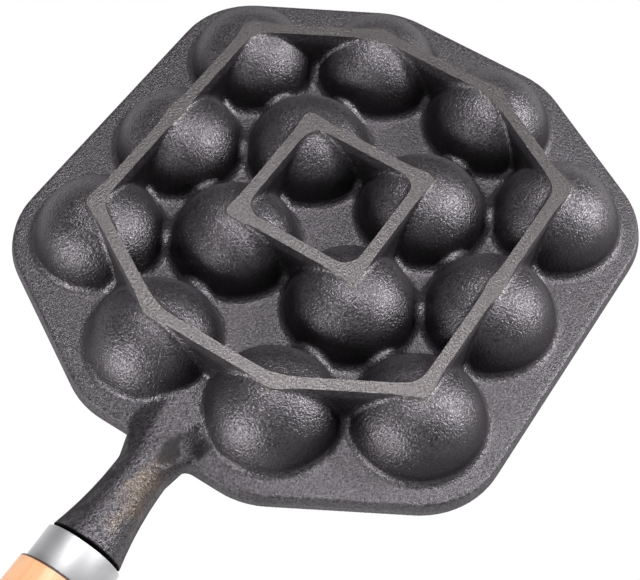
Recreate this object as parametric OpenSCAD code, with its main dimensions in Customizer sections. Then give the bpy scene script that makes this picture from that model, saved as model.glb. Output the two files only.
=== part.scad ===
// Cast-iron takoyaki pan: fourteen round wells, foot ribs under them and a turned wooden handle.
// Origin: the middle of the whole pan, on the plane that the foot ribs stand on.
// Z is up, the wells open upwards, and the handle points along X.

/* [Wells] */
// Distance between neighbouring wells
pitch = 46; // [45:0.5:54]
// Inside diameter of a well
well_d = 39; // [34:0.5:41]
// Thickness of a well's wall
well_wall = 3; // [2.5:0.25:3.5]
// Depth of a well below the cooking face
well_depth = 21.6; // [20.6:0.1:24]
// Rounding of a well's mouth
mouth_r = 1.2; // [0.6:0.1:1.8]
// Cast fillet between a well's outside and the plate
foot_fillet = 3; // [2:0.25:4]
// Radius of the rounded web that joins two neighbouring wells under the plate
web_r = 7.2; // [4:0.2:7.4]

/* [Plate] */
// Thickness of the plate between the wells
plate_t = 4.2; // [3.4:0.1:5]
// Distance from the outer wells' centres to the parting line, where the plate is widest
plate_margin = 30.2; // [28.5:0.1:36]
// How far the edge draws in from the parting line down to the underside
edge_draw = 0.9; // [0.3:0.1:1.5]
// How far the edge draws in from the parting line up to the top of the rim
rim_draw = 0.3; // [0.1:0.1:1]
// Height of the rim above the cooking face
rim_h = 2.6; // [2:0.1:5]
// Width of the rim
rim_w = 3; // [2.2:0.1:4]

/* [Foot ribs] */
// Width of a foot rib on its ground face
rib_w = 4; // [3:0.2:7]
// Draft of the ribs' sides in degrees
rib_draft = 2; // [1:0.5:4]
// How far the ribs reach below the lowest point of the wells
rib_proud = 0.15; // [0.1:0.05:1]
// Radius inside the corners of the ribs
rib_corner_r = 6; // [4:0.5:8]

/* [Handle stub] */
// Distance from the plate's edge to the neck of the stub
neck_out = 8.8; // [8:0.1:16]
// Height of the handle's axis above the underside of the plate at the neck
neck_up = 3.65; // [2.5:0.05:4.5]
// Diameter of the neck
neck_d = 17.6; // [16:0.2:20]
// Length of the stub from its neck to its end face
stub_len = 28.8; // [24:0.2:40]
// Diameter of the stub at its end face
stub_end_d = 24.9; // [23.5:0.1:26]
// How far the stub's root runs in under the plate
tongue_in = 28.7; // [26:0.1:30]
// Width of the flat under the stub's root
tongue_w = 17.4; // [14:0.2:20]
// How far that flat lies below the underside of the plate
tongue_down = 3.3; // [2:0.1:4]
// Width over the root's sides where they spread onto the plate
spread_w = 26; // [22:0.5:30]
// Distance from the plate's edge to the middle of that spread
spread_in = 5.7; // [3:0.1:7]
// Fillet between the plate's edge and the stub
root_r = 5; // [3:0.5:6]
// How far the fillet stays inside the plate's lower and upper faces
root_edge = 0.6; // [0.3:0.1:1.2]
// Rise of the handle in degrees
handle_tilt = 4.5; // [0:0.5:12]

/* [Ferrule] */
// Open gap between the stub's end face and the ferrule
ferrule_gap = 1; // [0.6:0.1:1.4]
// Outside diameter of the ferrule
ferrule_d = 26.4; // [25.6:0.1:28]
// Thickness of the ferrule's sheet
ferrule_wall = 0.8; // [0.5:0.1:1.2]
// Length of the ferrule
ferrule_len = 11.6; // [9:0.1:20]

/* [Grip] */
// Diameter of the grip beside the ferrule
grip_d = 29.2; // [28.8:0.1:30]
// Diameter of the grip at its belly
grip_belly_d = 31; // [30.6:0.1:34]
// Distance from the ferrule to the grip's belly
belly_at = 66; // [40:1:76]
// Bevel round the front edge of the wood
grip_edge = 0.6; // [0.3:0.1:1]
// Length of the grip from the ferrule to its tail
grip_len = 118; // [90:1:150]
// Rounding of the grip's tail
grip_tail_r = 5.5; // [3:0.5:5.5]
// Bore through the grip
grip_bore_d = 9.4; // [9:0.1:11]
// How far the wood ends inside the ferrule's front edge
wood_inset = 1; // [0.6:0.1:2]
// Diameter of the spigot on the stub that the wood seats on
spigot_d = 19; // [14:0.5:22]

/* [Tie rod] */
// Diameter of the tie rod
rod_d = 8; // [6:0.5:8]
// Length of the rod's thread in the stub
rod_in_stub = 18; // [10:1:20]
// Outside diameter of the washer
washer_d = 16.4; // [16:0.1:17]
// Thickness of the washer
washer_t = 1.6; // [1:0.1:2.4]
// Width of the nut across its flats
nut_af = 13; // [12:0.5:13.5]
// Height of the nut
nut_h = 6.5; // [4:0.5:8]
// How far the rod stands out of the nut
rod_out = 1.5; // [0.5:0.5:2]
// How far the rod's end lies inside the grip's tail
tail_inset = 2.4; // [1:0.2:4]
// Diameter of the recess in the grip's tail
recess_d = 17.4; // [17.2:0.1:17.8]
// Clearance round a piece that sits in another
fit_gap = 0.05; // [0.03:0.01:0.2]

/* [Hidden] */
$fn = 72;

// Small overlaps that keep fused shapes from only touching
sink = 1;
graze = 0.04;
crown = 0.02;

// Heights, counted up from the plane that the foot ribs stand on
well_r = well_d / 2;
dome_r = well_r + well_wall;
well_z = rib_proud + dome_r;
face_z = well_z - well_r + well_depth;
under_z = face_z - plate_t;
rim_z = face_z + rim_h;
parting_z = (under_z + rim_z) / 2;

// The wells stand in four rows along X: three, four, four and three
row_y = pitch / 2;
outer_row_y = row_y + pitch * sin(60);
well_places = [
    for (side = [-1, 1]) for (i = [-1:1]) [i * pitch, side * outer_row_y],
    for (side = [-1, 1]) for (i = [-1.5:1.5]) [i * pitch, side * row_y]
];

// Each pair of wells that stand one pitch apart, and the length of the web between their walls
neighbours = [
    for (a = well_places) for (b = well_places)
        if (a != b && norm(b - a) < 1.01 * pitch && heading(a, b) >= 0 && heading(a, b) < 179)
            [a, b]
];
web_len = pitch - 2 * (dome_r - well_wall / 2);

// The outer ring of ribs turns over the eight corner wells, the inner ring over the four middle ones
ring_corners = [
    [1.5 * pitch, -row_y], [1.5 * pitch, row_y],
    [pitch, outer_row_y], [-pitch, outer_row_y],
    [-1.5 * pitch, row_y], [-1.5 * pitch, -row_y],
    [-pitch, -outer_row_y], [pitch, -outer_row_y]
];
square_corners = [for (a = [45:90:315]) row_y * sqrt(2) * [cos(a), sin(a)]];

// Half a rib's width on the ground, and how much each side leans out up to the rib's root in the plate
rib_half = rib_w / 2;
rib_tall = under_z + sink;
rib_spread = rib_tall * tan(rib_draft);

// The end of the plate and the handle's axis
edge_x = 1.5 * pitch + plate_margin;
neck_r = neck_d / 2;
neck_x = edge_x + neck_out;
neck_z = under_z + neck_up;

// Places along the handle's axis, counted from the neck
ferrule_s = stub_len + ferrule_gap;
wood_s = ferrule_s + wood_inset;
shoulder_s = ferrule_s + ferrule_len;
tail_s = shoulder_s + grip_len;
rod_end_s = tail_s - tail_inset;
nut_s = rod_end_s - rod_out - nut_h;
washer_s = nut_s - washer_t;
socket_s = wood_s - rod_in_stub;

// The origin lies half way between the plate's far edge and the grip's tail
tail_round_s = tail_s - grip_tail_r;
tail_flat_r = grip_d / 2 - grip_tail_r;
tail_x = neck_x + tail_round_s * cos(handle_tilt) + tail_flat_r * sin(handle_tilt) + grip_tail_r;
middle_x = (tail_x - edge_x) / 2;

function turned(v) = [-v[1], v[0]];
function heading(a, b) = atan2(b[1] - a[1], b[0] - a[0]);
function wrap(i, n) = (i + n) % n;
function bend_at(corners, i) = wrap(
    heading(corners[i], corners[wrap(i + 1, len(corners))])
        - heading(corners[wrap(i - 1, len(corners))], corners[i]),
    360
);

// Outline that runs round a ring of corners at one distance, with each bend in three steps
function round_outline(corners, reach) = [
    for (i = [0:len(corners) - 1]) for (k = [0:3])
        let (a = heading(corners[wrap(i - 1, len(corners))], corners[i]) - 90 + bend_at(corners, i) * k / 3)
            corners[i] + reach * [cos(a), sin(a)]
];

// Moves a finished piece so that the origin is in the middle of the pan
module centred() {
    translate([-middle_x, 0, 0])
        children();
}

// Sets a shape on the handle's axis, with X along the handle and zero at the neck
module on_handle(s = 0) {
    translate([neck_x, 0, neck_z])
        rotate([0, -handle_tilt, 0])
            translate([s, 0, 0])
                children();
}

// Turns a profile of radius and height round the handle's axis
module turned_part() {
    rotate([0, 90, 0])
        rotate_extrude()
            children();
}

// Plate

// Plate up to the top of its rim. Both halves of the mould leave draft on its edge, so it is widest
// at the parting line, and each corner is round about its corner well
module plate() {
    hull()
        for (corner = ring_corners) {
            translate([corner[0], corner[1], under_z])
                cylinder(r1 = plate_margin - edge_draw, r2 = plate_margin, h = parting_z - under_z);
            translate([corner[0], corner[1], parting_z])
                cylinder(r1 = plate_margin, r2 = plate_margin - rim_draw, h = rim_z - parting_z);
        }
}

// Shallow tray that the rim closes in above the cooking face, with a round corner about each corner well
module tray() {
    reach = plate_margin - rim_draw - rim_w;
    translate([0, 0, face_z])
        linear_extrude(rim_h + sink) {
            polygon(round_outline(ring_corners, reach));
            for (corner = ring_corners)
                translate(corner)
                    circle(reach + crown);
        }
}

// Wells

// Outside of a well as radius and height: the ball, and the fillet that meets the plate
module dome_profile() {
    fillet_z = under_z - foot_fillet + graze;
    reach = dome_r + foot_fillet;
    fillet_x = sqrt(pow(reach, 2) - pow(well_z - fillet_z, 2));
    meet = dome_r / reach;
    meet_x = fillet_x * meet;
    meet_z = well_z + (fillet_z - well_z) * meet;
    intersection() {
        translate([0, well_z])
            circle(dome_r);
        square([dome_r + sink, under_z + sink]);
    }
    difference() {
        polygon([
            [0, meet_z],
            [meet_x, meet_z],
            [fillet_x, fillet_z],
            [fillet_x, under_z + sink],
            [0, under_z + sink]
        ]);
        translate([fillet_x, fillet_z])
            circle(foot_fillet);
    }
}

// Inside of a well as radius and height: the ball, a straight throat and the rounded mouth
module well_profile() {
    intersection() {
        translate([0, well_z])
            circle(well_r);
        square([well_r + sink, well_z]);
    }
    translate([0, well_z - graze])
        square([well_r, rim_z - well_z + sink]);
    difference() {
        translate([0, face_z - mouth_r])
            square([well_r + mouth_r, mouth_r + sink]);
        translate([well_r + mouth_r, face_z - mouth_r + graze])
            circle(mouth_r);
    }
}

module at_wells() {
    for (place = well_places)
        translate([place[0], place[1], 0])
            children();
}

// Rounded web between the walls of two neighbouring wells, up into the plate
module web(a, b) {
    translate([(a[0] + b[0]) / 2, (a[1] + b[1]) / 2, well_z])
        rotate([90, 0, heading(a, b) - 90])
            linear_extrude(web_len, center = true)
                intersection() {
                    circle(web_r);
                    translate([-web_r, -web_r])
                        square([2 * web_r, web_r]);
                }
}

// Foot ribs

// One straight rib with drafted sides between two corners
module rib(start, end) {
    way = heading(start, end);
    translate([end[0], end[1], 0])
        rotate([90, 0, way - 90])
            linear_extrude(norm(end - start))
                polygon([
                    [-rib_half, 0],
                    [rib_half, 0],
                    [rib_half + rib_spread, rib_tall],
                    [-rib_half - rib_spread, rib_tall]
                ]);
}

// Rounds the outside of one corner with the same draft as the ribs
module rib_turn(here) {
    translate([here[0], here[1], 0])
        cylinder(r1 = rib_half + crown, r2 = rib_half + rib_spread + crown, h = rib_tall);
}

// Rounds the inside of one corner of a ring of ribs
module rib_corner(here, way_in, bend) {
    touch = (rib_corner_r + rib_half) * tan(bend / 2);
    deep = well_z / 2;
    translate([here[0], here[1], 0])
        rotate(way_in)
            difference() {
                linear_extrude(deep)
                    polygon([
                        [0, 0],
                        [-touch, 0],
                        [-touch, rib_half],
                        [0, (rib_half + rib_corner_r) / cos(bend / 2) - rib_corner_r + graze],
                        touch * [cos(bend), sin(bend)] + rib_half * turned([cos(bend), sin(bend)]),
                        touch * [cos(bend), sin(bend)]
                    ]);
                translate([-touch, rib_half + rib_corner_r, -sink])
                    cylinder(r = rib_corner_r + graze, h = deep + 2 * sink);
            }
}

module rib_ring(corners) {
    n = len(corners);
    for (i = [0:n - 1]) {
        before = corners[wrap(i - 1, n)];
        here = corners[i];
        rib(here, corners[wrap(i + 1, n)]);
        rib_turn(here);
        rib_corner(here, heading(before, here), bend_at(corners, i));
    }
}

// Handle stub

// Root of the stub: a flat tongue from the nearest web, with sides that spread onto the plate
module stub_root() {
    pad_r = 3;
    hull() {
        for (side = [-1, 1])
            translate([edge_x - tongue_in + pad_r, side * (tongue_w / 2 - pad_r), under_z - tongue_down])
                cylinder(r = pad_r, h = tongue_down + sink, $fn = 32);
        for (side = [-1, 1])
            translate([edge_x - spread_in, side * (spread_w / 2 - pad_r), under_z - graze])
                cylinder(r = pad_r, h = sink, $fn = 32);
        on_handle(-sink)
            rotate([0, 90, 0])
                cylinder(r = neck_r - graze, h = sink, $fn = 32);
    }
}

// The stub narrows to its neck and flares again to its end face in one long arc
module stub_flare() {
    rise = stub_end_d / 2 - neck_r;
    flare_r = (pow(stub_len, 2) + pow(rise, 2)) / (2 * rise);
    on_handle()
        turned_part()
            difference() {
                translate([0, -2 * sink])
                    square([stub_end_d / 2, stub_len + 2 * sink]);
                translate([neck_r + flare_r, 0])
                    circle(flare_r, $fn = 720);
            }
}

// Fillets in plan between the edge of the plate and both sides of the stub
module root_fillets() {
    start_x = edge_x - edge_draw / 2;
    for (side = [-1, 1])
        translate([0, 0, under_z + root_edge])
            linear_extrude(rim_z - under_z - 2 * root_edge)
                difference() {
                    translate([start_x - sink, side > 0 ? 0 : -neck_r - root_r])
                        square([root_r + sink, neck_r + root_r]);
                    translate([start_x + root_r, side * (neck_r + root_r - graze)])
                        circle(root_r);
                }
}

module stub() {
    stub_root();
    stub_flare();
    root_fillets();
    on_handle(stub_len - sink)
        rotate([0, 90, 0])
            cylinder(d = spigot_d, h = wood_s - stub_len + sink);
}

// Drilled and tapped hole for the tie rod, with the drill's point at its end
module rod_socket() {
    hole_r = rod_d / 2 + fit_gap;
    point = hole_r * tan(30);
    on_handle(socket_s - sink)
        turned_part()
            polygon([
                [0, -point],
                [hole_r, 0],
                [hole_r, rod_in_stub + 2 * sink],
                [0, rod_in_stub + 2 * sink]
            ]);
}

// The pan: plate, wells, foot ribs and stub are one casting
module pan_casting() {
    color([0.29, 0.28, 0.29])
        centred()
            difference() {
                union() {
                    plate();
                    at_wells()
                        rotate_extrude()
                            dome_profile();
                    for (pair = neighbours)
                        web(pair[0], pair[1]);
                    rib_ring(ring_corners);
                    rib_ring(square_corners);
                    stub();
                }
                tray();
                at_wells()
                    rotate_extrude()
                        well_profile();
                rod_socket();
            }
}

// Handle

// Turned sheet collar round the front of the grip
module ferrule() {
    outer = ferrule_d / 2;
    color([0.78, 0.79, 0.8])
        centred()
            on_handle(ferrule_s)
                turned_part()
                    translate([outer - ferrule_wall, 0])
                        square([ferrule_wall, ferrule_len]);
}

// Half of the grip's outline as radius and length from the shoulder: two long tapers and a round tail
module grip_outline() {
    tail_start = grip_len - grip_tail_r;
    polygon([
        [0, 0],
        [grip_d / 2 - grip_edge, 0],
        [grip_d / 2, grip_edge],
        [grip_belly_d / 2, belly_at],
        [grip_d / 2, tail_start],
        [tail_flat_r, tail_start],
        [tail_flat_r, grip_len],
        [0, grip_len]
    ]);
    translate([tail_flat_r, tail_start])
        circle(grip_tail_r);
}

// Wooden grip: a tenon inside the ferrule, the barrel, a through bore and a recess for the nut
module grip() {
    tenon_r = ferrule_d / 2 - ferrule_wall - fit_gap;
    tenon_len = ferrule_len - wood_inset;
    color([0.9, 0.73, 0.53])
        centred()
            on_handle(shoulder_s)
                difference() {
                    turned_part()
                        union() {
                            translate([0, -tenon_len])
                                square([tenon_r, tenon_len + sink]);
                            grip_outline();
                        }
                    translate([-tenon_len - sink, 0, 0])
                        rotate([0, 90, 0])
                            cylinder(d = grip_bore_d, h = tenon_len + grip_len + 2 * sink);
                    translate([washer_s - shoulder_s, 0, 0])
                        rotate([0, 90, 0])
                            cylinder(d = recess_d, h = tail_s - washer_s + sink);
                }
}

// Threaded rod that ties the grip to the stub
module tie_rod() {
    tip = 0.8;
    rod_len = rod_end_s - socket_s;
    color([0.62, 0.62, 0.63])
        centred()
            on_handle(socket_s)
                turned_part()
                    polygon([
                        [0, 0],
                        [rod_d / 2 - tip, 0],
                        [rod_d / 2, tip],
                        [rod_d / 2, rod_len - tip],
                        [rod_d / 2 - tip, rod_len],
                        [0, rod_len]
                    ]);
}

module washer() {
    color([0.66, 0.66, 0.67])
        centred()
            on_handle(washer_s)
                turned_part()
                    translate([rod_d / 2 + fit_gap, 0])
                        square([washer_d / 2 - rod_d / 2 - fit_gap, washer_t]);
}

// Hexagon nut with its corners turned off
module nut() {
    corner_r = nut_af / sqrt(3);
    bevel = corner_r - nut_af / 2;
    color([0.64, 0.64, 0.65])
        centred()
            on_handle(nut_s)
                difference() {
                    intersection() {
                        rotate([0, 90, 0])
                            cylinder(r = corner_r, h = nut_h, $fn = 6);
                        turned_part()
                            polygon([
                                [0, 0],
                                [corner_r, 0],
                                [corner_r, nut_h - bevel / 2],
                                [nut_af / 2 - graze, nut_h],
                                [0, nut_h]
                            ]);
                    }
                    translate([-sink, 0, 0])
                        rotate([0, 90, 0])
                            cylinder(d = rod_d + 2 * fit_gap, h = nut_h + 2 * sink);
                }
}

pan_casting();
ferrule();
grip();
tie_rod();
washer();
nut();
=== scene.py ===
from math import cos, pi, radians, sin

import bmesh
import bpy
import numpy
from mathutils import Matrix, Vector


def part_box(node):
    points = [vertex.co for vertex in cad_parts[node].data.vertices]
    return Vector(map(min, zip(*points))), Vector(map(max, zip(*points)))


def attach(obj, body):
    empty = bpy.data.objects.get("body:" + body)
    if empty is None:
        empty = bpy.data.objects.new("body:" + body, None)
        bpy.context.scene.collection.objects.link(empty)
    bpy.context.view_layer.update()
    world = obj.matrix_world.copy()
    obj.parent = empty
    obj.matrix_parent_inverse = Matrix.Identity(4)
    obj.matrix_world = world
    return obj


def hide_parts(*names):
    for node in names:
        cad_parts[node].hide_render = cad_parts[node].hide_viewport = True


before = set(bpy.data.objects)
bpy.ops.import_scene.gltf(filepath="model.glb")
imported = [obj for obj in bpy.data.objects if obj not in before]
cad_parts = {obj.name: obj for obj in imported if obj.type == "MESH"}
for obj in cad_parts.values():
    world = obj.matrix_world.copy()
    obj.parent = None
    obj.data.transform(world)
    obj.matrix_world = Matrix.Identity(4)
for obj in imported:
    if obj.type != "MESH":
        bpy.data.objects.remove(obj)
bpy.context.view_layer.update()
mm = 0.001
weld = 0.001 * mm       # points nearer than this are one


# Nodes for a material

class Amount:
    # wraps a number socket, so that shader maths reads as an expression
    def __init__(self, bench, socket):
        self.bench = bench
        self.socket = socket

    def maths(self, operation, first, second):
        made = self.bench.node("ShaderNodeMath", {"operation": operation}, {0: first, 1: second})
        return Amount(self.bench, made.outputs[0])

    def __add__(self, other):
        return self.maths("ADD", self, other)

    def __radd__(self, other):
        return self.maths("ADD", other, self)

    def __sub__(self, other):
        return self.maths("SUBTRACT", self, other)

    def __rsub__(self, other):
        return self.maths("SUBTRACT", other, self)

    def __mul__(self, other):
        return self.maths("MULTIPLY", self, other)

    def __rmul__(self, other):
        return self.maths("MULTIPLY", other, self)

    def most(self, other):
        return self.maths("MAXIMUM", self, other)


class NodeBench:
    # every node of a material or of the world comes from node(): type, settings, then sockets
    def __init__(self, owner):
        owner.use_nodes = True
        self.tree = owner.node_tree
        self.tree.nodes.clear()

    def node(self, kind, settings=None, inputs=None):
        made = self.tree.nodes.new(kind)
        for key, value in (settings or {}).items():
            setattr(made, key, value)
        for key, value in (inputs or {}).items():
            self.feed(made.inputs[key], value)
        return made

    def feed(self, socket, value):
        if isinstance(value, Amount):
            value = value.socket
        if isinstance(value, bpy.types.NodeSocket):
            self.tree.links.new(value, socket)
        elif socket.type == "RGBA" and len(value) == 3:
            socket.default_value = (*value, 1)
        else:
            socket.default_value = value

    def remap(self, amount, low, high, to=(0.0, 1.0), smooth=True):
        settings = {"interpolation_type": "SMOOTHSTEP" if smooth else "LINEAR"}
        inputs = {"Value": amount, "From Min": low, "From Max": high, "To Min": to[0], "To Max": to[1]}
        return Amount(self, self.node("ShaderNodeMapRange", settings, inputs).outputs[0])

    def axis(self, name, place):
        made = self.node("ShaderNodeSeparateXYZ", {}, {0: place})
        return Amount(self, made.outputs[name])


class Finish(NodeBench):
    # one material, with its shader and its Object coordinates at hand
    def __init__(self, name, **constants):
        self.material = bpy.data.materials.new(name)
        super().__init__(self.material)
        self.shader = self.node("ShaderNodeBsdfPrincipled")
        self.wear(**constants)
        self.output = self.node("ShaderNodeOutputMaterial", {}, {"Surface": self.shader.outputs[0]})
        self.place = self.node("ShaderNodeTexCoord").outputs["Object"]

    def wear(self, **values):
        # values or links of the shader's sockets, such as Base_Color
        for key, value in values.items():
            self.feed(self.shader.inputs[key.replace("_", " ")], value)
        return self.material

    def moved(self, shift=(0, 0, 0), scale=(1, 1, 1), place=None):
        inputs = {"Vector": place or self.place, "Location": shift, "Scale": scale}
        return self.node("ShaderNodeMapping", {}, inputs).outputs[0]

    def noise(self, size, detail=2.0, rough=0.5, place=None, distort=0.0):
        # size is the rough width of one feature in metres
        inputs = {"Vector": place or self.place, "Scale": 1 / size, "Detail": detail, "Roughness": rough,
                  "Distortion": distort}
        return Amount(self, self.node("ShaderNodeTexNoise", {}, inputs).outputs[0])

    def onHandle(self):
        # coordinates along, across and up from the ferrule's middle, on the handle's own axis
        line = handleFrame()
        inputs = {"Vector": self.place, "Location": tuple(line.translation),
                  "Rotation": tuple(line.to_euler())}
        return self.node("ShaderNodeMapping", {"vector_type": "TEXTURE"}, inputs).outputs[0]

    def mixed(self, share, first, second):
        made = self.node("ShaderNodeMix", {"data_type": "RGBA"}, {"Factor": share})
        for index, colour in ((6, first), (7, second)):
            self.feed(made.inputs[index], colour)
        return made.outputs[2]

    def bumped(self, height, depth):
        inputs = {"Height": height, "Distance": depth, "Strength": 1.0}
        return self.node("ShaderNodeBump", {}, inputs).outputs[0]


# The handle's axis, read from the turned pieces that sit on it

def middleOf(node):
    low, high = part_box(node)
    return (low + high) / 2


def handleFrame():
    start, end = middleOf("ferrule"), middleOf("washer")
    along = (end - start).normalized()
    across = Vector((0, 1, 0))
    up = along.cross(across)
    turn = Matrix((along, across, up)).transposed().to_4x4()
    return Matrix.Translation(start) @ turn


def spanOf(node):
    # how far a node reaches along the handle's axis, and its radius
    back = handleFrame().inverted()
    points = [back @ v.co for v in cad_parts[node].data.vertices]
    return min(p.x for p in points), max(p.x for p in points), max(abs(p.y) for p in points)


# Making and placing pieces

def objectFrom(name, mesh):
    made = bpy.data.objects.new(name, mesh)
    bpy.context.scene.collection.objects.link(made)
    return made


def asPiece(name, bm, material, replaced):
    mesh = bpy.data.meshes.new(name)
    bm.to_mesh(mesh)
    bm.free()
    dress(objectFrom(name, mesh), material, replaced)


def dress(piece, material, replaced):
    piece.data.materials.clear()
    piece.data.materials.append(material)
    piece.data.shade_smooth()
    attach(piece, "root")
    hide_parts(replaced)


def withModifier(piece, kind, **settings):
    # adds a modifier and applies it
    modifier = piece.modifiers.new(kind.title(), kind)
    for key, value in settings.items():
        setattr(modifier, key, value)
    graph = bpy.context.evaluated_depsgraph_get()
    mesh = bpy.data.meshes.new_from_object(piece.evaluated_get(graph))
    piece.modifiers.clear()
    piece.data = mesh


def latheBlank(profile, steps=96, closed=True):
    # turns (along, radius) points round the handle's axis
    bm = bmesh.new()
    points = [bm.verts.new((along, 0, radius)) for along, radius in profile]
    pairs = list(zip(points, points[1:] + points[:1])) if closed else list(zip(points, points[1:]))
    edges = [bm.edges.new(pair) for pair in pairs]
    bmesh.ops.spin(bm, geom=points + edges, cent=(0, 0, 0), axis=(1, 0, 0), angle=2 * pi,
                   steps=steps, use_merge=True)
    bmesh.ops.remove_doubles(bm, verts=bm.verts, dist=weld)
    bmesh.ops.recalc_face_normals(bm, faces=bm.faces)
    bmesh.ops.transform(bm, matrix=handleFrame(), verts=bm.verts)
    return bm


def arc(centre, radius, first, last, count):
    # points of an arc in the profile's plane, angles in degrees from the handle's direction
    angles = [radians(first + (last - first) * i / count) for i in range(count + 1)]
    return [(centre[0] + radius * cos(a), centre[1] + radius * sin(a)) for a in angles]


def keepCrisp(bm, limit):
    # edges sharper than the limit stay crisp under smooth shading
    for edge in bm.edges:
        if len(edge.link_faces) == 2 and edge.calc_face_angle(0) > limit:
            edge.smooth = False


# Pan: the casting, with its rounded cast edges and the feet ground flat

casting = {
    "grain": 0.6 * mm,          # voxel of the rounded skin
    "roughGrain": 1.2 * mm,
    "fillet": 2.8 * mm,         # how far the sand rounds every inner corner
    "openHollow": 9 * mm,       # hollows rounder than this stay as they are
    "rounds": 3,                # passes that round the cast edges
    "stock": 1.2 * mm,          # metal ground off the feet
    "mostTriangles": 188000,
}

castIron = {
    "pits": (0.010, 0.009, 0.011),              # the skin, from the pits to the tops of its grain
    "body": (0.022, 0.020, 0.023),
    "pale": (0.048, 0.044, 0.050),
    "brown": (0.085, 0.062, 0.040),             # patina
    # painted shade, for the steep walls and round the stub
    "soot": (0.008, 0.007, 0.007),
    "ground": (0.106, 0.097, 0.096),            # the feet, and the streaks across them
    "groundDark": (0.050, 0.046, 0.046),
    "specular": 0.9,
    "ior": 1.68,
    "sheen": (1.0, 0.945, 1.0),                 # faint violet tint of what the skin mirrors
    "roughness": 0.34,
    "metal": 0.3,                               # metal share of the plain skin
    "peel": 0.85 * mm,                          # width of one grain of the sand-cast skin
    "peelDepth": 0.48 * mm,
    "finePeel": 0.42 * mm,                      # width of the finer grains between them
    "patch": 6 * mm,                            # width of the patches that make the skin uneven
    "stain": (31 * mm, -6.5 * mm, 18 * mm),     # brown patina along the stub
    "stainReach": (14 * mm, 6.5 * mm, 7 * mm),
    "stubShadeSpots": (                              # painted shade: dark spots on the stub's root and flanks: centre and reach
        ((15 * mm, -5.5 * mm, 17 * mm), (6.5 * mm, 6 * mm, 6 * mm)),
        ((8.5 * mm, -11.5 * mm, 20 * mm), (4.5 * mm, 3.5 * mm, 5 * mm)),
        ((36 * mm, 8 * mm, 20 * mm), (22 * mm, 5.5 * mm, 8 * mm)),
    ),
    "ragged": 2.6,                              # how far the patches break up a spot's edge
    "wallShadeFrom": (2 * mm, 6 * mm),              # heights over which the painted shade on the walls sets in
    "sootyTo": (19.5 * mm, 17.5 * mm),          # heights over which it fades out again
    "wallShadeEnd": (8 * mm, -4 * mm),              # stretch before the stub over which it fades out
    "plateFrom": (19.5 * mm, 20.5 * mm),        # heights over which the plate sets in
    "stubFrom": (2 * mm, 18 * mm),              # stretch over which the stub sets in
    "ferruleGap": 1.0 * mm,                     # from the stub's end to the ferrule
    "gapShadeWidth": 0.7 * mm,                        # painted shade: black skin next to the gap
    "groundTo": (0.05 * mm, 0.01 * mm),         # heights below which the skin is ground off
    "polish": (0.9 * mm, 0.15 * mm),            # heights over which the crowns are rubbed paler
    "polishSpread": 0.5 * mm,                   # how far the patches shift that
    "scratch": 0.5 * mm,                        # width of a streak left by the grinding
}


def spotMask(finish, centre, reach, patches):
    # a soft round place on the skin with a ragged edge
    shift = tuple(-c / r for c, r in zip(centre, reach))
    local = finish.moved(shift=shift, scale=tuple(1 / r for r in reach))
    length = finish.node("ShaderNodeVectorMath", {"operation": "LENGTH"}, {0: local})
    distance = Amount(finish, length.outputs["Value"])
    return finish.remap(distance + (patches - 0.5) * castIron["ragged"], 1.15, 0.3)


def paintedWallShade(finish, height, patches):
    # painted shade: the steep walls between the crowns and the plate are darkened where shade falls, but
    # not round the stub
    outward = finish.node("ShaderNodeTexCoord").outputs["Normal"]
    downward = 0 - finish.axis("Z", outward)
    steep = finish.remap(downward + (patches - 0.5) * 0.2, 0.80, 0.42) * finish.remap(downward, -0.3, 0.0)
    between = finish.remap(height, *castIron["wallShadeFrom"]) * finish.remap(height, *castIron["sootyTo"])
    return steep * between * finish.remap(finish.axis("X", finish.place), *castIron["wallShadeEnd"])


def paintedStubShade(finish, patches):
    # painted shade: black skin next to the gap before the ferrule, and dark spots on the stub's root and
    # flanks
    stubEnd = spanOf("ferrule")[0] - castIron["ferruleGap"]
    along = finish.axis("X", finish.onHandle())
    soot = finish.remap(along, stubEnd - castIron["gapShadeWidth"], stubEnd - 0.5 * castIron["gapShadeWidth"])
    for centre, reach in castIron["stubShadeSpots"]:
        soot = soot.most(spotMask(finish, centre, reach, patches) * 0.75)
    return soot


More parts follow.
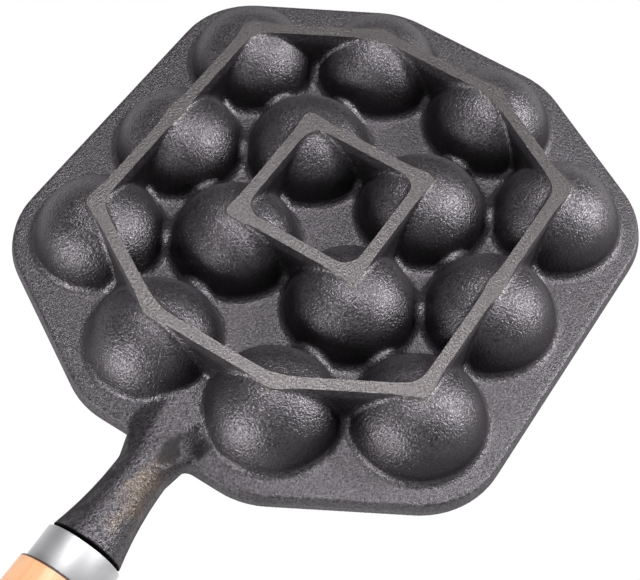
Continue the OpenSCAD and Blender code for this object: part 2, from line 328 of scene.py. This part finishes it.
def castIronMaterial():
    finish = Finish("castIron", Specular_IOR_Level=castIron["specular"], IOR=castIron["ior"],
                    Specular_Tint=castIron["sheen"])
    patches = finish.noise(castIron["patch"], 2.0, 0.6)
    peel = finish.noise(castIron["peel"], 2.0, 0.55, distort=0.2)
    sand = peel * 0.65 + finish.noise(castIron["finePeel"], 1.0) * 0.35
    grit = finish.remap(sand, 0.36, 0.62)
    height = finish.axis("Z", finish.place)

    # the feet are ground, and the crowns next to them are rubbed nearly as pale
    ground = finish.remap(height, *castIron["groundTo"])
    crown = height + (patches - 0.5) * castIron["polishSpread"]
    rubbed = ground.most(finish.remap(crown, *castIron["polish"]) * 0.8)

    # the grain's pits are darker than its tops, and painted shade darkens both on the steep walls
    wallShade = paintedWallShade(finish, height, patches)
    skin = finish.mixed(grit, castIron["pits"], castIron["pale"])
    skin = finish.mixed(finish.remap(patches, 0.30, 0.80) * 0.5, skin, castIron["body"])
    skin = finish.mixed(wallShade * 0.7, skin, castIron["soot"])

    # warm patina along the stub, under the painted shade there
    stain = spotMask(finish, castIron["stain"], castIron["stainReach"], patches)
    soot = paintedStubShade(finish, patches)
    skin = finish.mixed(stain * 0.75, skin, castIron["brown"])
    skin = finish.mixed(soot, skin, castIron["soot"])

    # streaks along the pan, between the grains
    scratch = finish.noise(castIron["scratch"], 3.0, 0.7, finish.moved(scale=(0.25, 1, 1)))
    streaks = finish.remap(scratch * 0.35 + sand * 0.65, 0.38, 0.58)
    feet = finish.mixed(streaks, castIron["groundDark"], castIron["ground"])
    colour = finish.mixed(rubbed, skin, feet)

    # grain breaks up the mirror at a glancing look, so the skin goes dull there
    facing = Amount(finish, finish.node("ShaderNodeLayerWeight", {}, {"Blend": 0.5}).outputs["Facing"])
    glancing = finish.remap(facing, 0.45, 0.95)
    onPlate = finish.remap(height, *castIron["plateFrom"])
    rough = castIron["roughness"] + (patches - 0.5) * 0.12 + glancing * 0.45
    rough = rough + ground * 0.06 + soot * 0.35 + onPlate * 0.12

    # painted shade: the walls and stub where shade is painted, and the grain's pits, hardly shine, which
    # a high metal share gives together with a dark colour
    onStub = finish.remap(finish.axis("X", finish.place), *castIron["stubFrom"])
    dark = (wallShade * 0.40).most(soot * 0.6).most((1 - grit) * 0.25)
    metal = castIron["metal"] + dark * (1 - rubbed) + rubbed * 0.4 + onStub * (1 - soot) * 0.2
    normal = finish.bumped(sand * (1 - ground * 0.4), castIron["peelDepth"])
    return finish.wear(Base_Color=colour, Metallic=metal, Roughness=rough, Normal=normal)


def fillInnerCorners(mesh, grain):
    # sand rounds each inner corner: a pass lifts the points in hollows towards the middle of their
    # neighbours and leaves all others alone, and the passes add up to a fillet
    count = len(mesh.vertices)
    ends = numpy.empty(len(mesh.edges) * 2, dtype=numpy.int64)
    mesh.edges.foreach_get("vertices", ends)
    near, far = numpy.concatenate((ends[0::2], ends[1::2])), numpy.concatenate((ends[1::2], ends[0::2]))
    neighbours = numpy.bincount(near, minlength=count)
    place, normal = numpy.empty((count, 3)), numpy.empty((count, 3), dtype=numpy.float32)
    leave = grain ** 2 / (2 * casting["openHollow"])
    passes = round(2 * (casting["fillet"] / grain) ** 2)
    for _ in range(passes):
        mesh.vertices.foreach_get("co", place.ravel())
        mesh.vertex_normals.foreach_get("vector", normal.ravel())
        middle = [numpy.bincount(near, weights=place[far, axis], minlength=count) for axis in range(3)]
        pull = numpy.stack(middle, axis=1) / neighbours[:, None] - place
        lift = numpy.maximum((pull * normal).sum(axis=1) - leave, 0)
        place += normal * lift[:, None]
        mesh.vertices.foreach_set("co", place.ravel())
        mesh.update()


def castPan():
    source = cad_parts["pan_casting"]
    bm = bmesh.new()
    bm.from_mesh(source.data)
    bmesh.ops.remove_doubles(bm, verts=bm.verts, dist=weld)
    for v in bm.verts:
        if v.co.z < weld:
            v.co.z -= casting["stock"]
    mesh = bpy.data.meshes.new("panCasting")
    bm.to_mesh(mesh)
    bm.free()
    pan = objectFrom("panCasting", mesh)
    grain = casting["grain"]
    withModifier(pan, "REMESH", mode="VOXEL", voxel_size=grain)
    print("pan remeshed", len(pan.data.polygons), "faces")
    fillInnerCorners(pan.data, grain)
    withModifier(pan, "SMOOTH", factor=0.5, iterations=casting["rounds"])
    share = min(1.0, casting["mostTriangles"] / (2 * len(pan.data.polygons)))
    withModifier(pan, "DECIMATE", ratio=share)

    bm = bmesh.new()
    bm.from_mesh(pan.data)
    cut = bmesh.ops.bisect_plane(bm, geom=bm.verts[:] + bm.edges[:] + bm.faces[:], dist=0.0001 * mm,
                                 plane_co=(0, 0, 0), plane_no=(0, 0, -1), clear_outer=True)
    rim = [item for item in cut["geom_cut"] if isinstance(item, bmesh.types.BMEdge)]
    bmesh.ops.triangle_fill(bm, edges=rim, use_beauty=True, normal=(0, 0, -1))
    for edge in rim:
        edge.smooth = False
    bmesh.ops.recalc_face_normals(bm, faces=bm.faces)
    openEdges = sum(len(edge.link_faces) != 2 for edge in bm.edges)
    print("feet ground:", len(bm.faces), "faces,", openEdges, "open edges")
    bm.to_mesh(pan.data)
    bm.free()
    dress(pan, castIronMaterial(), "pan_casting")


# Ferrule: a turned steel collar

collar = {
    "wall": 0.8 * mm,
    "edge": 0.3 * mm,
    "steel": (0.46, 0.46, 0.47),
    "roughness": 0.54,
}


def brushedSteelMaterial(name, colour, roughness):
    finish = Finish(name, Metallic=1.0)
    # brushed round the handle: long across it, short along it
    lines = finish.noise(0.35 * mm, 2.0, 0.6, finish.moved(scale=(1, 0.06, 0.06)))
    cloud = finish.noise(9 * mm, 2.0)
    pale = tuple(min(1.0, c * 1.12) for c in colour)
    base = finish.mixed(finish.remap(cloud, 0.3, 0.7), colour, pale)
    normal = finish.bumped(lines, 0.012 * mm)
    return finish.wear(Base_Color=base, Roughness=roughness + (lines - 0.5) * 0.12, Normal=normal)


def makeFerrule():
    start, end, outer = spanOf("ferrule")
    inner = outer - collar["wall"]
    edge = collar["edge"]
    profile = (
        arc((start + edge, outer - edge), edge, 180, 90, 4)
        + arc((end - edge, outer - edge), edge, 90, 0, 4)
        + [(end, inner), (start, inner)]
    )
    bm = latheBlank(profile)
    keepCrisp(bm, radians(50))
    steel = brushedSteelMaterial("ferruleSteel", collar["steel"], collar["roughness"])
    asPiece("ferruleCollar", bm, steel, "ferrule")


# Grip: turned pale wood, with a bore for the rod and a recess for the nut

handle = {
    "neckRadius": 14.6 * mm,
    "bellyAt": 66 * mm,         # from the shoulder to the widest place
    "frontEdge": 0.6 * mm,
    "tailRound": 5.5 * mm,
    "boreRadius": 4.7 * mm,
    "recessRadius": 8.7 * mm,
    "recessEdge": 0.35 * mm,
    "dish": 0.1 * mm,           # how deep the recess's mouth lies in the tail
    "slack": 0.05 * mm,         # between turned pieces that fit in each other
    "inside": 0.04 * mm,        # how far the turned skin keeps inside the solid
}

beech = {
    "light": (0.760, 0.420, 0.232),
    "dark": (0.655, 0.335, 0.172),
    "fleck": (0.480, 0.220, 0.100),
    "ferruleShade": (0.055, 0.024, 0.018),
    "ferruleShadeWidth": 0.95 * mm,     # painted shade: dark line in the gap where the wood meets the ferrule
    "grainDepth": 0.03 * mm,
    "roughness": 0.46,
}


def woodMaterial():
    finish = Finish("gripWood", IOR=1.5, Coat_Weight=0.0)
    onHandle = finish.onHandle()
    # each noise is drawn out along the handle
    lines = finish.noise(1.6 * mm, 3.0, 0.6, finish.moved(scale=(0.035, 1, 1), place=onHandle), 0.4)
    rings = finish.noise(7 * mm, 2.0, 0.5, finish.moved(scale=(0.06, 1, 1), place=onHandle))
    flecks = finish.noise(0.8 * mm, 1.0, 0.5, finish.moved(scale=(0.16, 1, 1), place=onHandle))
    figure = finish.remap(lines * 0.6 + rings * 0.4, 0.38, 0.62)
    colour = finish.mixed(figure, beech["light"], beech["dark"])
    colour = finish.mixed(finish.remap(flecks, 0.64, 0.76) * 0.55, colour, beech["fleck"])
    # painted shade in the gap at the shoulder, next to the ferrule
    shoulder = spanOf("ferrule")[1]
    ferruleShade = finish.remap(finish.axis("X", onHandle), shoulder + beech["ferruleShadeWidth"],
                        shoulder + 0.65 * beech["ferruleShadeWidth"])
    colour = finish.mixed(ferruleShade, colour, beech["ferruleShade"])
    normal = finish.bumped(lines * 0.6 + flecks * 0.4, beech["grainDepth"])
    rough = beech["roughness"] + (lines - 0.5) * 0.15
    return finish.wear(Base_Color=colour, Roughness=rough, Normal=normal)


def makeGrip():
    start, tail, belly = spanOf("grip")
    tail, belly = tail - handle["inside"], belly - handle["inside"]
    shoulder = spanOf("ferrule")[1]
    tenon = spanOf("ferrule")[2] - collar["wall"] - handle["slack"]
    seat = spanOf("washer")[0]
    neck, edge, tailRound = handle["neckRadius"], handle["frontEdge"], handle["tailRound"]
    recess, recessEdge, mouth = handle["recessRadius"], handle["recessEdge"], tail - handle["dish"]

    # a barrel that swells from the shoulder to the belly and narrows again to the tail
    barrelEnd = tail - tailRound
    steps = 24
    barrel = []
    for i in range(1, steps):
        along = shoulder + edge + (barrelEnd - shoulder - edge) * i / steps
        past = along - shoulder - handle["bellyAt"]
        room = handle["bellyAt"] if past < 0 else barrelEnd - shoulder - handle["bellyAt"]
        barrel.append((along, neck + (belly - neck) * (1 - (past / room) ** 2)))
    profile = (
        [(start, tenon), (shoulder, tenon)]
        + arc((shoulder + edge, neck - edge), edge, 180, 90, 4)
        + barrel
        + arc((barrelEnd, neck - tailRound), tailRound, 90, 6, 10)
        + [(mouth, recess + recessEdge), (mouth - recessEdge, recess), (seat, recess)]
        + [(seat, handle["boreRadius"]), (start, handle["boreRadius"])]
    )
    bm = latheBlank(profile)
    keepCrisp(bm, radians(40))
    asPiece("woodGrip", bm, woodMaterial(), "grip")


# Rod, washer and nut

fastener = {
    "threadPitch": 1.25 * mm,
    "threadDepth": 0.55 * mm,
    "threadInside": 6 * mm,     # how far the rings go on past the nut, into the grip
    "rodEdge": 0.8 * mm,
    "tip": 0.5 * mm,            # length of the rod's narrowed end
    "washerEdge": 0.25 * mm,
    "steel": (0.30, 0.30, 0.31),
    "washerSteel": (0.34, 0.34, 0.35),
    "roughness": 0.42,
}


def makeRod():
    # the thread shows past the nut, so the rod has rings as deep as its thread over its last stretch
    start, end, radius = spanOf("tie_rod")
    edge, pitch = fastener["rodEdge"], fastener["threadPitch"]
    first = spanOf("nut")[0] - fastener["threadInside"]
    root = radius - fastener["threadDepth"]
    profile = [(start, 0), (start, radius - edge), (start + edge, radius), (first - pitch / 2, radius)]
    for i in range(int((end - edge - first) / pitch)):
        profile += [(first + i * pitch, root), (first + (i + 0.5) * pitch, radius)]
    profile += [(end - fastener["tip"], root + 0.1 * mm), (end, root - 0.3 * mm), (end, 0)]
    bm = latheBlank(profile, steps=64, closed=False)
    keepCrisp(bm, radians(40))
    steel = brushedSteelMaterial("rodSteel", fastener["steel"], fastener["roughness"])
    asPiece("tieRod", bm, steel, "tie_rod")


def makeWasher():
    start, end, radius = spanOf("washer")
    inner = spanOf("tie_rod")[2] + handle["slack"]
    edge = fastener["washerEdge"]
    profile = (
        arc((start + edge, radius - edge), edge, 180, 90, 3)
        + arc((end - edge, radius - edge), edge, 90, 0, 3)
        + [(end, inner), (start, inner)]
    )
    bm = latheBlank(profile, steps=64)
    keepCrisp(bm, radians(50))
    steel = brushedSteelMaterial("washerSteel", fastener["washerSteel"], fastener["roughness"])
    asPiece("washerRing", bm, steel, "washer")


def dressNut():
    # the nut's own solid is shown, in its steel
    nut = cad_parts["nut"]
    nut.data.materials.clear()
    nut.data.materials.append(brushedSteelMaterial("nutSteel", fastener["steel"], fastener["roughness"]))


# Camera, lamps and floor

studio = {
    "cameraPlace": (0.17105, -0.1449, -0.4094),
    "cameraRight": (-0.5425, -0.8395, -0.0321),
    "cameraUp": (-0.7032, 0.4747, -0.5294),
    "lens": 85.4,
    "sensor": 36.0,
    "aim": (-0.0842, 0.0, 0.012),   # inside the plate's middle
    "boxReach": 0.9,
    "boxes": (                      # way across, up and towards the camera; side; watts
        ("rightBox", (0.84, 0.34, 0.41), 0.26, 9.6),
        ("topBox", (0.0, 0.66, 0.75), 0.26, 7.2),
        ("leftBox", (-0.70, -0.42, 0.55), 0.30, 7.2),
    ),
    "overheadWay": (-0.25, 0.15, 1.0),
    "overheadReach": 1.1,
    "overheadSide": 2.4,
    "overheadWatts": 8,
    "roomLight": 0.11,              # soft light and shine from below, on the camera's side
    "roomShine": 0.20,
    "skyLight": 0.55,               # the same from above the pan
    "skyShine": 1.0,
    "horizon": (-0.25, 0.15),       # slopes of sight over which the one turns into the other
    "floorHalf": 4.0,
    "floorDrop": 0.3 * mm,          # keeps the floor clear of the feet
    "floorTone": 0.30,
    "floorGlow": 0.6,               # its own light, for the camera alone, which makes it pale
}


def makeCamera():
    data = bpy.data.cameras.new("camera")
    data.lens = studio["lens"]
    data.sensor_width = studio["sensor"]
    data.clip_start = 0.01
    camera = objectFrom("camera", data)
    right = Vector(studio["cameraRight"]).normalized()
    back = right.cross(Vector(studio["cameraUp"])).normalized()
    up = back.cross(right)
    turn = Matrix((right, up, back)).transposed().to_4x4()
    camera.matrix_world = Matrix.Translation(studio["cameraPlace"]) @ turn
    bpy.context.scene.camera = camera


def softBox(name, way, reach, side, watts):
    # a square lamp that faces the pan from a direction
    data = bpy.data.lights.new(name, "AREA")
    data.size = side
    data.energy = watts
    box = objectFrom(name, data)
    way = Vector(way).normalized()
    turn = way.to_track_quat("Z", "Y").to_matrix().to_4x4()
    box.matrix_world = Matrix.Translation(Vector(studio["aim"]) + way * reach) @ turn


def makeLamps():
    turn = bpy.context.scene.camera.matrix_world.to_3x3()
    for name, way, side, watts in studio["boxes"]:
        softBox(name, turn @ Vector(way), studio["boxReach"], side, watts)
    softBox("overheadBox", studio["overheadWay"], studio["overheadReach"], studio["overheadSide"],
            studio["overheadWatts"])


def makeWorld():
    # white to the camera; to the object, a soft sky over the pan and a dim room under it
    world = bpy.data.worlds.new("studioWorld")
    bpy.context.scene.world = world
    bench = NodeBench(world)
    path = bench.node("ShaderNodeLightPath").outputs
    height = bench.axis("Z", bench.node("ShaderNodeTexCoord").outputs["Generated"])
    low, high = studio["horizon"]
    light = bench.remap(height, low, high, (studio["roomLight"], studio["skyLight"]), smooth=False)
    shine = bench.remap(height, low, high, (studio["roomShine"], studio["skyShine"]), smooth=False)
    shown = Amount(bench, path["Is Camera Ray"]).most(Amount(bench, path["Is Transmission Ray"]))
    glossy = Amount(bench, path["Is Glossy Ray"])
    strength = shown + (1 - shown) * (light + glossy * (shine - light))
    background = bench.node("ShaderNodeBackground", {}, {"Color": (1, 1, 1), "Strength": strength})
    bench.node("ShaderNodeOutputWorld", {}, {"Surface": background.outputs[0]})


def makeFloor():
    # the floor shows to the camera alone and only from above, so a camera under the pan sees past it
    bm = bmesh.new()
    bmesh.ops.create_grid(bm, x_segments=1, y_segments=1, size=studio["floorHalf"])
    bmesh.ops.translate(bm, verts=bm.verts, vec=(0, 0, -studio["floorDrop"]))
    mesh = bpy.data.meshes.new("floor")
    bm.to_mesh(mesh)
    bm.free()
    floor = objectFrom("floor", mesh)
    finish = Finish("paleFloor", Base_Color=(studio["floorTone"],) * 3, Roughness=0.9,
                    Emission_Color=(studio["floorGlow"],) * 3, Emission_Strength=1.0)
    seen = Amount(finish, finish.node("ShaderNodeLightPath").outputs["Is Camera Ray"])
    under = Amount(finish, finish.node("ShaderNodeNewGeometry").outputs["Backfacing"])
    clear = finish.node("ShaderNodeBsdfTransparent").outputs[0]
    shown = {0: seen * (1 - under), 1: clear, 2: finish.shader.outputs[0]}
    finish.feed(finish.output.inputs["Surface"], finish.node("ShaderNodeMixShader", {}, shown).outputs[0])
    mesh.materials.append(finish.material)


bpy.context.scene.view_settings.view_transform = "Standard"
makeCamera()
makeLamps()
makeWorld()
makeFloor()
print("studio ready")
castPan()
print("pan cast")
makeFerrule()
makeGrip()
makeRod()
makeWasher()
dressNut()
print("handle fitted")
